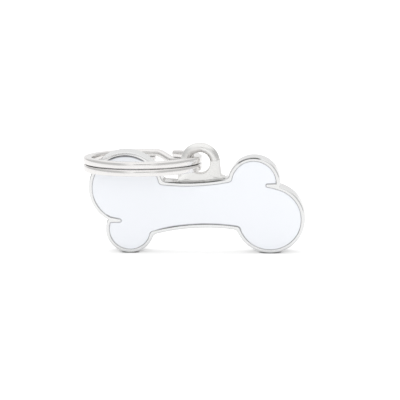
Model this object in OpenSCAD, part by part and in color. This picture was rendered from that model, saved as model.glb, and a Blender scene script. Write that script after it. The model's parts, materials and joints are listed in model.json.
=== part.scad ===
// Bone-shaped pet identity tag: an enamelled metal plate that stands on its two
// lower lobes, a soldered hanging loop, and a two-turn split ring through the loop.
// X runs along the bone, the enamelled face looks towards -Y, Z is up.

/* [Bone plate] */
// Length of the bone over its two large lobes
bone_length = 37; // [30:0.5:46]
// Thickness of the metal plate
plate_thick = 3; // [2:0.1:3.8]
// Radius of the upper left lobe
upper_left_r = 6.4; // [5:0.05:7.8]
// Radius of the lower left lobe
lower_left_r = 4.15; // [3.4:0.05:5]
// Radius of the upper right lobe
upper_right_r = 4.45; // [3.6:0.05:5.4]
// Radius of the lower right lobe
lower_right_r = 6; // [4.8:0.05:7.2]
// Rise from the lower left lobe's centre to the upper left one's
left_lobe_rise = 7.2; // [6:0.05:8.6]
// Rise from the lower right lobe's centre to the upper right one's
right_lobe_rise = 6.35; // [5.4:0.05:7.6]
// Set-in of the lower left lobe's centre from the upper left one's
lower_left_in = 0.55; // [0:0.05:1.5]
// Set-in of the upper right lobe's centre from the lower right one's
upper_right_in = 2.65; // [1:0.05:3.4]
// Height of the lowest point of the waist's upper edge
waist_top = 12.42; // [11:0.01:13.4]
// Height of the highest point of the waist's lower edge
waist_bottom = 4.45; // [3:0.05:5.6]
// Radius of the waist's upper curve
waist_top_r = 37.6; // [30:0.1:60]
// Radius of the waist's lower curve
waist_bottom_r = 34.5; // [28:0.1:60]
// Sideways place of each waist curve's centre, left for the upper and right for the lower
waist_shift = 1.75; // [0:0.05:3]
// Radius that blends the waist into the lobes
blend_r = 1; // [0.5:0.05:1.6]
// Rounding of the plate's front and back edges
edge_r = 0.25; // [0.1:0.05:0.6]

/* [Enamel field] */
// Width of the metal rim round the enamel
rim_width = 0.65; // [0.4:0.01:0.9]
// Depth of the recess that holds the enamel
recess_depth = 0.5; // [0.3:0.05:0.8]
// How far the enamel's face lies below the rim
enamel_drop = 0.08; // [0.02:0.01:0.2]
// Radius of the enamel's inward corners at the waist
enamel_blend_r = 0.7; // [0.2:0.05:0.9]
// Length of the crease ridges, from the notch between two lobes to the tip
crease_length = 2.4; // [1.6:0.1:3.2]
// Width of a crease ridge at its tip
crease_tip_w = 0.6; // [0.4:0.05:0.9]
// Width of a crease ridge at the notch
crease_root_w = 1.1; // [0.8:0.05:1.4]
// Slope of the crease ridges from the level
crease_slope = 4.5; // [0:0.5:12]

/* [Hanging loop] */
// Place of the loop's foot along the bone, from the bone's middle
loop_x = 0.9; // [-3:0.01:3]
// Thickness of the loop's round wire
loop_wire_d = 1.7; // [1.3:0.05:2]
// Width of the loop's eye
eye_d = 3.35; // [3.3:0.05:4.4]
// Height of the eye's centre above the waist's edge
eye_rise = 3.22; // [3:0.02:4]
// Length of the loop's foot along the waist
foot_length = 8; // [6.6:0.05:9]
// Thickness of the tab that fills the loop below its eye
web_thick = 1.5; // [1:0.05:1.6]
// How far the eye is drawn down below its centre
eye_drop = 0.2; // [0:0.05:0.4]
// Thickness of the foot's toes at their tips
toe_lift = 0.25; // [0.15:0.05:0.4]
// Thickness of the solder under the foot
solder_thick = 0.12; // [0.05:0.01:0.2]
// How far the solder shows round the foot
solder_margin = 0.15; // [0.05:0.05:0.3]

/* [Split ring] */
// Outside diameter of the split ring
ring_d = 20.4; // [18:0.1:24]
// Width of the ring's wire, measured towards the ring's centre
wire_w = 1.5; // [1:0.05:1.7]
// Height of the ring's wire, measured along the ring's axis
wire_h = 1.2; // [0.9:0.01:1.25]
// Rounding of the wire's corners
wire_corner_r = 0.35; // [0.2:0.05:0.45]
// Gap between the ring's two turns
turn_gap = 0.08; // [0.05:0.01:0.12]
// Place of the step between the turns, in degrees round the ring from the loop
step_from = 61; // [40:1:100]
// Length of the step between the turns, in degrees
step_span = 20; // [16:1:30]
// Angle between the step and each cut end of the wire, in degrees
end_gap = 1.5; // [1:0.5:4]
// Tilt of the ring as it lies, front edge raised
ring_roll = 6.5; // [0:0.5:10]
// Running clearance between the ring and the loop's eye
eye_clearance = 0.05; // [0.03:0.01:0.1]
// Clearance between the ring at rest and the lobe that it lies on
rest_clearance = 0.08; // [0.05:0.01:0.5]

/* [Hidden] */
$fn = 120;

// Overrun of cuts past the faces that they open
cut_over = 1;
// Halvings when the ring's tilt is sought
halvings = 24;
// Facets in a rounded edge, a wire corner and a crease tip
edge_steps = 5;
// Share by which a blend stops short of its tangent points
blend_share = 0.06;
// How deep the loop's form reaches below the waist's edge before it is trimmed to it
toe_depth = 1.5;
// Gap between the enamel and the recess's walls, and between the solder and its faces
enamel_gap = 0.01;
solder_gap = 0.01;
// Sections along the step between the ring's turns
step_sections = 12;
// How far the step's wire runs into each turn, in degrees, and how much slimmer it is
step_bury = 2;
step_inset = 0.02;

half_thick = plate_thick / 2;
half_length = bone_length / 2;

// Lobes as [centre, radius], centres in the plane of the plate
upper_left = [[upper_left_r - half_length, lower_left_r + left_lobe_rise], upper_left_r];
lower_left = [[upper_left_r - half_length + lower_left_in, lower_left_r], lower_left_r];
upper_right = [
    [half_length - lower_right_r - upper_right_in, lower_right_r + right_lobe_rise], upper_right_r
];
lower_right = [[half_length - lower_right_r, lower_right_r], lower_right_r];
lobes = [upper_left, lower_left, upper_right, lower_right];

top_centre = [-waist_shift, waist_top + waist_top_r];
bottom_centre = [waist_shift, waist_bottom - waist_bottom_r];

// Where each lobe meets the waist: lobe, centre and radius of the curve, side of the meeting
corners = [
    [upper_left, top_centre, waist_top_r, -1],
    [upper_right, top_centre, waist_top_r, 1],
    [lower_left, bottom_centre, waist_bottom_r, 1],
    [lower_right, bottom_centre, waist_bottom_r, -1]
];

function unit(v) = v / norm(v);

// Meeting of two circles, on the left of the line between them for side 1
function meet(c1, r1, c2, r2, side) =
    let (d = norm(c2 - c1), u = unit(c2 - c1), a = (d * d + r1 * r1 - r2 * r2) / (2 * d))
    c1 + a * u + side * sqrt(r1 * r1 - a * a) * [-u[1], u[0]];

// Outer notches between the two lobes of each end
left_notch = meet(lower_left[0], lower_left_r, upper_left[0], upper_left_r, 1);
right_notch = meet(upper_right[0], upper_right_r, lower_right[0], lower_right_r, 1);

// Centre of the small circle that blends a lobe into the waist, for an outline drawn
// in by inset and a blend of radius r
function blend_centre(corner, inset, r) =
    meet(corner[0][0], corner[0][1] - inset + r, corner[1], corner[2] + inset - r, corner[3]);

// Where the waist's upper edge runs into a blend, as an angle about the edge's centre
function run_end(corner) =
    let (v = blend_centre(corner, 0, blend_r) - corner[1]) atan2(v[0], -v[1]);
run_from = run_end(corners[0]);
run_to = run_end(corners[1]);

// The loop's foot stands on that run and stays off both blends: half its length, also as
// an angle, then its lean, its place, and the centre of the eye
foot_half = min(foot_length / 2, waist_top_r * (run_to - run_from) / 2 * PI / 180);
foot_angle = foot_half / waist_top_r * 180 / PI;
foot_lean = asin((loop_x - top_centre[0]) / waist_top_r);
lean = max(run_from + foot_angle, min(run_to - foot_angle, foot_lean));
foot_at = top_centre + waist_top_r * [sin(lean), -cos(lean)];
eye_at = foot_at + eye_rise * [-sin(lean), cos(lean)];
loop_mid_r = (eye_d + loop_wire_d) / 2;

// The ring swings about the middle of the eye's height
swing_at = eye_at + eye_drop / 2 * [sin(lean), -cos(lean)];

// The ring's wire: its middle radius, the height from turn to turn, and the radius and
// height of the centres of its inner corners
ring_mid_r = (ring_d - wire_w) / 2;
turn_pitch = wire_h + turn_gap;
corner_ring_r = ring_d / 2 - wire_w + wire_corner_r;
corner_rise = turn_pitch / 2 + wire_h / 2 - wire_corner_r;

// Place of an inner corner at a distance y from the middle of the plate: its distance
// from the ring's centre, and its distance from the ring's plane with the ring's roll
function corner_out(y) = sqrt(pow(corner_ring_r, 2) - y * y);
function corner_up(y) = corner_rise + y * tan(ring_roll);

// How far the ring's centre stands from the swing's centre with the ring drawn against
// the eye, clear of it right through the tab's thickness
corner_room = eye_d / 2 - wire_corner_r - eye_clearance;
ring_centre_at = corner_out(web_thick / 2) + sqrt(pow(corner_room, 2) - pow(corner_up(web_thick / 2), 2));

// Rest: the ring's far inner corner comes down to just clear of the large upper lobe, or
// of the lower one where it hangs past the upper, at the back where the roll brings it
// lowest. A ring that hangs past both comes down to the surface that the tag stands on.
// Angles are measured at the swing's centre.
lean_y = half_thick - edge_r;
far_corner = [ring_centre_at + corner_out(lean_y), -corner_up(lean_y)];
function lobe_reach(lobe) = lobe[1] + wire_corner_r + rest_clearance;
function passes(lobe) = norm(lobe[0] - swing_at) + lobe_reach(lobe) < norm(far_corner);
function lobe_angle(lobe) =
    let (v = lobe[0] - swing_at, d = norm(v), f = norm(far_corner))
    atan2(-v[1], -v[0]) - acos((d * d + f * f - pow(lobe_reach(lobe), 2)) / (2 * d * f))
    + atan2(far_corner[1], far_corner[0]);

// How far the ring's lowest point hangs below the swing's centre at a tilt
function hang(tilt) =
    ring_centre_at * sin(tilt) + (turn_pitch + wire_h) / 2 * cos(tilt)
    + ring_d / 2 * norm([sin(tilt), sin(ring_roll) * cos(tilt)]);

// Largest tilt from low to high that keeps the ring above the surface, by halving
function floor_angle(low, high, left) =
    let (middle = (low + high) / 2)
    left == 0 ? low
    : hang(middle) + rest_clearance > swing_at[1] ? floor_angle(low, middle, left - 1)
    : floor_angle(middle, high, left - 1);

function rest_angle(lobe) = passes(lobe) ? 90 : lobe_angle(lobe);
ring_tilt = min(rest_angle(upper_left), rest_angle(lower_left), floor_angle(-45, 90, halvings));

// Everything is moved along X so that the origin is under the middle of the whole thing
ring_left = swing_at[0] - (ring_centre_at + ring_d / 2) * cos(ring_tilt);
centre_x = -(half_length + min(ring_left, -half_length)) / 2;

echo(swing_x = swing_at[0] + centre_x, swing_z = swing_at[1], ring_tilt = ring_tilt, centre_x = centre_x);

// Revolves a profile of [distance, place along Y] about a line along Y
module revolve_about(at) {
    translate([at[0], 0, at[1]]) rotate([90, 0, 0]) rotate_extrude() children();
}

// Raises an outline drawn in X and Z into a slab from y = back to y = front
module slab(front, back) {
    translate([0, back, 0]) rotate([90, 0, 0]) linear_extrude(back - front) children();
}

// Rounded edge of the plate as points: side 1 for a rim of that radius, -1 for a hole
function edge_points(r, side) = concat(
    [for (i = [0:edge_steps]) let (a = 90 * i / edge_steps)
        [r - side * edge_r * (1 - sin(a)), -half_thick + edge_r * (1 - cos(a))]],
    [for (i = [edge_steps:-1:0]) let (a = 90 * i / edge_steps)
        [r - side * edge_r * (1 - sin(a)), half_thick - edge_r * (1 - cos(a))]]);

module lobe_puck(lobe) {
    revolve_about(lobe[0])
        polygon(concat([[0, -half_thick]], edge_points(lobe[1], 1), [[0, half_thick]]));
}

// Round cutter that leaves rounded edges on the curve that it cuts
module curve_cutter(at, r) {
    far = half_thick + cut_over;
    revolve_about(at)
        polygon(concat([[0, -far], [r + edge_r, -far]], edge_points(r, -1), [[r + edge_r, far], [0, far]]));
}

module waist_cutters() {
    curve_cutter(top_centre, waist_top_r, $fn = 480);
    curve_cutter(bottom_centre, waist_bottom_r, $fn = 480);
}

// Wedge of bone round a blend's centre, as an outline
module blend_wedge(corner, inset, r) {
    at = blend_centre(corner, inset, r);
    to_lobe = unit(corner[0][0] - at);
    to_waist = unit(at - corner[1]);
    reach = r + 2 * edge_r + rim_width;
    polygon([
        at,
        at + reach * unit(to_lobe + blend_share * (to_waist - to_lobe)),
        at + reach * unit(to_waist + blend_share * (to_lobe - to_waist))
    ]);
}

// Block of the waist between the lobes' centres, before its curves are cut
module waist_block() {
    translate([upper_left[0][0], lower_left_r / 2])
        square([upper_right[0][0] - upper_left[0][0], upper_right[0][1]]);
}

module bone_solid() {
    for (lobe = lobes) lobe_puck(lobe);
    difference() {
        slab(-half_thick, half_thick) waist_block();
        waist_cutters();
    }
    for (c = corners) difference() {
        slab(-half_thick, half_thick) blend_wedge(c, 0, blend_r);
        curve_cutter(blend_centre(c, 0, blend_r), blend_r);
    }
}

// Crease ridge from a notch towards the bone's middle, as an outline
module crease(from, heading, grow) {
    tip_r = crease_tip_w / 2 + grow;
    root_r = crease_root_w / 2 + grow;
    tip_at = crease_length - crease_tip_w / 2;
    translate(from) rotate(heading) polygon(concat(
        [[0, root_r], [0, -root_r]],
        [for (i = [-2 * edge_steps:2 * edge_steps]) let (a = 45 * i / edge_steps)
            [tip_at + tip_r * cos(a), tip_r * sin(a)]]));
}

// Enamel field as a slab, drawn in from the bone's own outline by inset
module field_slab(inset, front, back) {
    grow = inset - rim_width;
    difference() {
        union() {
            for (lobe = lobes) slab(front, back) translate(lobe[0]) circle(lobe[1] - inset);
            difference() {
                slab(front, back) waist_block();
                round_cut(top_centre, waist_top_r + inset, $fn = 480);
                round_cut(bottom_centre, waist_bottom_r + inset, $fn = 480);
            }
            for (c = corners) difference() {
                slab(front, back) blend_wedge(c, inset, enamel_blend_r);
                round_cut(blend_centre(c, inset, enamel_blend_r), enamel_blend_r);
            }
        }
        slab(-plate_thick, plate_thick) crease(left_notch, -crease_slope, grow);
        slab(-plate_thick, plate_thick) crease(right_notch, 180 - crease_slope, grow);
    }
}

// Plain round cutter right through the plate
module round_cut(at, r) {
    slab(-plate_thick, plate_thick) translate(at) circle(r);
}

module tag_body() color("silver") translate([centre_x, 0, 0]) difference() {
    bone_solid();
    field_slab(rim_width, -half_thick - cut_over, -half_thick + recess_depth);
}

module enamel() color("white") translate([centre_x, 0, 0])
    field_slab(rim_width + enamel_gap, -half_thick + enamel_drop, -half_thick + recess_depth);

// Places a form that is drawn standing on the waist's edge
module on_foot() {
    translate([foot_at[0], 0, foot_at[1]]) rotate([0, -lean, 0]) children();
}

// Space above the waist's edge, kept off it by lift
module above_waist(lift) {
    translate([top_centre[0], 0, top_centre[1]]) rotate([90, 0, 0])
        cylinder(r = waist_top_r - lift, h = 2 * plate_thick, center = true, $fn = 480);
}

// Tab below the eye as an outline: a web that flares out to the toes of the foot,
// cut by the round-bottomed lower half of the eye
module tab_outline() {
    side = loop_mid_r + loop_wire_d / 2;
    flare_r = foot_half - side;
    difference() {
        translate([-foot_half, -toe_depth])
            square([2 * foot_half, toe_depth + toe_lift + flare_r]);
        for (s = [-1, 1]) translate([s * foot_half, toe_lift + flare_r]) circle(flare_r);
        translate([0, eye_rise - eye_drop]) circle(d = eye_d);
    }
    difference() {
        translate([-loop_mid_r, 0]) square([2 * loop_mid_r, eye_rise]);
        translate([0, eye_rise - eye_drop]) circle(d = eye_d);
        translate([-eye_d / 2, eye_rise - eye_drop]) square([eye_d, 2 * eye_drop]);
    }
}

// Round wire of the loop: an arch with a leg down each side, which ends inside the tab
// just above the solder
module loop_wire() {
    side = loop_mid_r + loop_wire_d / 2;
    leg_end = waist_top_r - sqrt(pow(waist_top_r, 2) - side * side) + solder_thick + solder_gap;
    translate([0, 0, eye_rise]) rotate([90, 0, 0]) rotate_extrude(angle = 180)
        translate([loop_mid_r, 0]) circle(d = loop_wire_d, $fn = 60);
    for (s = [-1, 1]) translate([s * loop_mid_r, 0, leg_end])
        cylinder(d = loop_wire_d, h = eye_rise - leg_end, $fn = 60);
}

module loop() color("lightgray") translate([centre_x, 0, 0]) {
    on_foot() loop_wire();
    intersection() {
        on_foot() slab(-web_thick / 2, web_thick / 2) tab_outline();
        above_waist(solder_thick);
    }
}

// Film of solder between the foot and the waist's edge, following the edge's curve
module solder() color("gray") translate([centre_x, 0, 0]) difference() {
    intersection() {
        on_foot() linear_extrude(2 * plate_thick, center = true)
            polygon(rounded_box(
                2 * (foot_half + solder_margin), web_thick + 2 * solder_margin, web_thick / 3));
        above_waist(solder_gap);
    }
    above_waist(solder_thick - solder_gap);
}

// Points of a box w by h with corners of radius r, about its centre
function rounded_box(w, h, r) = [
    for (q = [0:3]) for (i = [0:edge_steps])
        let (a = 90 * (q + i / edge_steps), sx = (q == 0 || q == 3) ? 1 : -1, sy = q < 2 ? 1 : -1)
        [sx * (w / 2 - r) + r * cos(a), sy * (h / 2 - r) + r * sin(a)]];

// One level turn of the wire, from one angle to another
module ring_turn(level, from, to) {
    translate([0, 0, level]) rotate([0, 0, from]) rotate_extrude(angle = to - from, $fn = 180)
        translate([ring_mid_r, 0]) polygon(rounded_box(wire_w, wire_h, wire_corner_r));
}

// The step's place at share u of its span: height above the ring's middle, and slope
function step_z(u) = turn_pitch * (u * u * (3 - 2 * u) - 1 / 2);
function step_slope(u) = atan(turn_pitch * 6 * u * (1 - u) / (ring_mid_r * step_span * PI / 180));

// Section of the step's wire at share u of its span, square to the wire
function step_section(u, outline) =
    let (v = min(max(u, 0), 1), a = step_from + u * step_span, s = step_slope(v))
    [for (p = outline) let (r = ring_mid_r + p[0], t = -p[1] * sin(s))
        [r * cos(a) - t * sin(a), r * sin(a) + t * cos(a), step_z(v) + p[1] * cos(s)]];

// Joins rings of points into a closed tube with flat ends
module tube(rings) {
    n = len(rings[0]);
    m = len(rings);
    polyhedron(
        points = [for (ring = rings) for (p = ring) p],
        faces = concat(
            [[for (j = [n - 1:-1:0]) j]],
            [for (i = [0:m - 2]) for (j = [0:n - 1]) each [
                [i * n + j, i * n + (j + 1) % n, (i + 1) * n + j],
                [i * n + (j + 1) % n, (i + 1) * n + (j + 1) % n, (i + 1) * n + j]]],
            [[for (j = [0:n - 1]) (m - 1) * n + j]]));
}

// Bend of the wire that takes it from the lower turn up to the upper one
module ring_step() {
    bury = step_bury / step_span;
    outline = rounded_box(wire_w - 2 * step_inset, wire_h - 2 * step_inset, wire_corner_r);
    shares = concat([-bury], [for (i = [1:step_sections - 1]) i / step_sections], [1 + bury]);
    tube([for (u = shares) step_section(u, outline)]);
}

module split_ring() color("lightgray")
    translate([swing_at[0] + centre_x, 0, swing_at[1]]) rotate([0, -ring_tilt, 0])
        rotate([-ring_roll, 0, 0]) translate([-ring_centre_at, 0, 0]) {
            ring_turn(turn_pitch / 2, step_from + step_span, 360 + step_from - end_gap);
            ring_turn(-turn_pitch / 2, step_from + step_span + end_gap, 360 + step_from);
            ring_step();
        }

tag_body();
enamel();
loop();
solder();
split_ring();
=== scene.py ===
import json
import math

import bpy
import numpy as np
from mathutils import Matrix, Vector
from mathutils.geometry import tessellate_polygon


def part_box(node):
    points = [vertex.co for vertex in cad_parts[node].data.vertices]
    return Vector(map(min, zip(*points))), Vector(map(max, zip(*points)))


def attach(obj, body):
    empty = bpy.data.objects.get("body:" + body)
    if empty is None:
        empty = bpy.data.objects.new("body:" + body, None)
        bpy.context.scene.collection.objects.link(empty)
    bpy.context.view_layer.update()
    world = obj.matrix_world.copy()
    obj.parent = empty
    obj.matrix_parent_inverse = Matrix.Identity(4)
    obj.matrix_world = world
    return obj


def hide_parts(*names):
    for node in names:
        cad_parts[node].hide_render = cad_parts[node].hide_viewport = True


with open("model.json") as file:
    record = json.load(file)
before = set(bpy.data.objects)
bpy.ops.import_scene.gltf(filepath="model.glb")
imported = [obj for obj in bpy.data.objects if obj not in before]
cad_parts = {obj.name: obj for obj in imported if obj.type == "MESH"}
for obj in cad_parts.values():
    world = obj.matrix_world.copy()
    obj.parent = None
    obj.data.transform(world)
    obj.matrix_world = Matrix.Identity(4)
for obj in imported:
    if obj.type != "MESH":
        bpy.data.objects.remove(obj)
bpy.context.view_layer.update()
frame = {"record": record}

# Sizes are in millimetres until a mesh is written. X runs along the bone, the enamel looks
# towards -Y, and Z is up.
MM = 0.001

# The four lobes of the bone and its two waist curves as (x, z, radius)
UPPER_LEFT = (-12.1, 11.35, 6.4)
LOWER_LEFT = (-11.55, 4.15, 4.15)
UPPER_RIGHT = (9.85, 12.35, 4.45)
LOWER_RIGHT = (12.5, 6.0, 6.0)
WAIST_TOP = (-1.75, 50.02, 37.6)
WAIST_BOTTOM = (1.75, -30.05, 34.5)
BLEND_R = 1.0
HALF_THICK = 1.5
EDGE_R = 0.25
EDGE_STRIP = 0.05

# The enamel field and the crease ridges
RIM_WIDTH = 0.65
RECESS_Y = -1.0
ENAMEL_Y = -1.42
FIELD_BLEND_R = 0.7
SHOULDER_R = 0.16
CREASE_LENGTH = 2.4
CREASE_TIP_R = 0.3
CREASE_ROOT_R = 0.55
CREASE_SLOPE = 4.5

# The enamel's edge: its gap to the rim, how far below the field's level its rounding starts,
# the rounding's width and height, and the fall from its crest as (way in, height over level)
ENAMEL_GAP = 0.012
ENAMEL_ROUND_FROM = 0.035
ENAMEL_ROUND_W = 0.05
ENAMEL_ROUND_H = 0.055
ENAMEL_FALL = ((0.09, 0.016), (0.14, 0.011), (0.22, 0.006), (0.34, 0.002), (0.5, 0.0))

# Points on each run of the outline, and steps round each small edge
BIG_LOBE_POINTS = 97
SMALL_LOBE_POINTS = 73
WAIST_POINTS = 49
BLEND_POINTS = 13
CREASE_JOIN_POINTS = 7
CREASE_SIDE_POINTS = 9
CREASE_TIP_POINTS = 17
EDGE_STEPS = 7
ENAMEL_STEPS = 6

# The loop, which stands on the waist and leans with it: its arch and eye, and then the tab,
# whose toes stand higher on the left. The wire's legs end inside the tab.
LOOP_WIRE_R = 0.85
EYE_R = 1.675
EYE_RISE = 3.22
EYE_DROP = 0.2
FOOT_HALF = 4.0
FOOT_ANGLE = 3.9766
FOOT_EDGE_R = 0.05
TAB_HALF = 0.75
TAB_TOP = 0.2
TAB_EDGE_R = 0.16
TOE_LEFT = 1.05
TOE_RIGHT = 0.5
LEG_END = 0.55
MELT_W = 0.22

# The solder seam: the gap under the foot that it fills, how far it shows round the foot, the
# corner of its outline, and how far it stays clear of the foot and of the waist
SOLDER_THICK = 0.12
SOLDER_MARGIN = 0.15
SOLDER_CORNER_R = 0.4
SOLDER_UNDER_FOOT = 0.02
SOLDER_OVER_WAIST = 0.01

# The split ring. Angles are in degrees. It is rolled in the eye, and its middle stands out
# from the swing's axis.
RING_D = 20.4
WIRE_W = 1.5
WIRE_H = 1.2
TURN_PITCH = 1.28
STEP_FROM = 61.0
STEP_SPAN = 20.0
END_GAP = 1.5
RING_ROLL = 6.5
RING_OUT = 9.8399
SECTION_POINTS = 64


def unit(v):
    return v / np.linalg.norm(v)


def meet(c1, r1, c2, r2, side):
    """Meeting of two circles, on the left of the line between them for side 1."""
    c1, c2 = np.array(c1, float), np.array(c2, float)
    d = np.linalg.norm(c2 - c1)
    u = (c2 - c1) / d
    a = (d * d + r1 * r1 - r2 * r2) / (2 * d)
    return c1 + a * u + side * math.sqrt(r1 * r1 - a * a) * np.array([-u[1], u[0]])


def angle(v):
    return math.atan2(v[1], v[0])


# Outline of the bone


def arc(centre, r, start, end, turn, count):
    """Points on an arc and its outward normals: turn 1 goes round a lobe, -1 along a hollow."""
    while turn > 0 and end <= start:
        end += 2 * math.pi
    while turn < 0 and end >= start:
        end -= 2 * math.pi
    t = np.linspace(start, end, count)
    n = np.stack([np.cos(t), np.sin(t)], 1)
    return np.array(centre) + r * n, turn * n


def blend_centre(lobe, waist, inset, r, side):
    return meet(lobe[:2], lobe[2] - inset + r, waist[:2], waist[2] + inset - r, side)


def way_out(point, heading, lobe, inset):
    """How far a line from a point goes before it leaves a lobe for good, 0 if it misses it."""
    d = np.array(point) - np.array(lobe[:2])
    b = float(d @ heading)
    root = b * b - float(d @ d) + (lobe[2] - inset) ** 2
    return max(-b + math.sqrt(root), 0) if root > 0 else 0


def notch(a, b, inset=0):
    """Where two lobes drawn in by inset meet, on the left of the line from a to b."""
    return meet(a[:2], a[2] - inset, b[:2], b[2] - inset, 1)


def outline(inset, base, blend_r, creases=False):
    """The bone's outline drawn in by inset, as runs of points with outward normals.
    The small blends keep the centres that they have at inset base. With creases, the
    ridges between the lobes cut into it."""
    grow = inset - base
    corners = [
        (LOWER_LEFT, WAIST_BOTTOM, 1),
        (LOWER_RIGHT, WAIST_BOTTOM, -1),
        (UPPER_RIGHT, WAIST_TOP, 1),
        (UPPER_LEFT, WAIST_TOP, -1),
    ]
    at = [blend_centre(lobe, waist, base, blend_r, side) for lobe, waist, side in corners]
    runs = []

    def lobe_run(lobe, start, end, count):
        c = np.array(lobe[:2])
        runs.append(arc(c, lobe[2] - inset, angle(start - c), angle(end - c), 1, count))

    def blend_run(i, to_lobe_last):
        lobe, waist, _ = corners[i]
        a, b = angle(np.array(lobe[:2]) - at[i]), angle(at[i] - np.array(waist[:2]))
        if to_lobe_last:
            a, b = b, a
        runs.append(arc(at[i], blend_r + grow, a, b, -1, BLEND_POINTS))

    def waist_run(i, j):
        waist = corners[i][1]
        c = np.array(waist[:2])
        start, end = angle(at[i] - c), angle(at[j] - c)
        runs.append(arc(c, waist[2] + inset, start, end, -1, WAIST_POINTS))

    def crease(root, heading_deg, first, second, meeting):
        """The ridge's two sides and its round tip, met going round the bone. A side that
        comes out on the other side's lobe is joined to the notch by a bit of that lobe."""
        h = math.radians(heading_deg)
        u, n = np.array([math.cos(h), math.sin(h)]), np.array([-math.sin(h), math.cos(h)])
        root_r, tip_r = CREASE_ROOT_R + grow, CREASE_TIP_R + grow
        tip = root + u * (CREASE_LENGTH - CREASE_TIP_R)
        along = np.linspace(0, 1, CREASE_SIDE_POINTS)[:, None]
        sides = []
        for side, own, other in ((1, first, second), (-1, second, first)):
            outer, inner = root + side * root_r * n, tip + side * tip_r * n
            heading = unit(outer - inner)
            far = way_out(inner, heading, own, inset)
            crossed = way_out(inner, heading, other, inset)
            start = inner + heading * max(far, crossed)
            if far > crossed:
                corner = start
                points = np.repeat([start], CREASE_JOIN_POINTS, 0)
                joined = (points, np.repeat([side * n], CREASE_JOIN_POINTS, 0))
            else:
                corner = meeting
                ends = [angle(q - np.array(other[:2])) for q in (meeting, start)[::side]]
                joined = arc(other[:2], other[2] - inset, *ends, 1, CREASE_JOIN_POINTS)
            a, b = (start, inner)[::side]
            off = side * np.array([-heading[1], heading[0]])
            line = (a + (b - a) * along, np.repeat([off], CREASE_SIDE_POINTS, 0))
            sides.append((joined, line, corner))
        (on, down, first_corner), (away, up, last_corner) = sides
        quarter_turn = math.pi / 2
        round_tip = arc(tip, tip_r, h + quarter_turn, h - quarter_turn, -1, CREASE_TIP_POINTS)
        return [on, down, round_tip, up, away], first_corner, last_corner

    left = left_in = left_out = notch(LOWER_LEFT, UPPER_LEFT, inset)
    right = right_in = right_out = notch(UPPER_RIGHT, LOWER_RIGHT, inset)
    left_runs, right_runs = [], []
    if creases:
        root = notch(LOWER_LEFT, UPPER_LEFT)
        left_runs, left_in, left_out = crease(
            root, -CREASE_SLOPE, UPPER_LEFT, LOWER_LEFT, left
        )
        root = notch(UPPER_RIGHT, LOWER_RIGHT)
        right_runs, right_in, right_out = crease(
            root, 180 - CREASE_SLOPE, LOWER_RIGHT, UPPER_RIGHT, right
        )
    lobe_run(LOWER_LEFT, left_out, at[0], SMALL_LOBE_POINTS)
    blend_run(0, False)
    waist_run(0, 1)
    blend_run(1, True)
    lobe_run(LOWER_RIGHT, at[1], right_in, BIG_LOBE_POINTS)
    runs.extend(right_runs)
    lobe_run(UPPER_RIGHT, right_out, at[2], SMALL_LOBE_POINTS)
    blend_run(2, False)
    waist_run(2, 3)
    blend_run(3, True)
    lobe_run(UPPER_LEFT, at[3], left_in, BIG_LOBE_POINTS)
    runs.extend(left_runs)
    return runs


# Surfaces made of rings of points. A face is left out where twice its area, in square mm, is
# less than this, and points that agree to so many decimals are one, in a face and in a mesh.
NO_AREA = 1e-9
FACE_DECIMALS = 6
MESH_DECIMALS = 5


def shift_x():
    """How far the bone's middle stands from the middle of the whole tag."""
    low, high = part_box("tag_body")
    return (low[0] + high[0]) / 2 / MM


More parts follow.
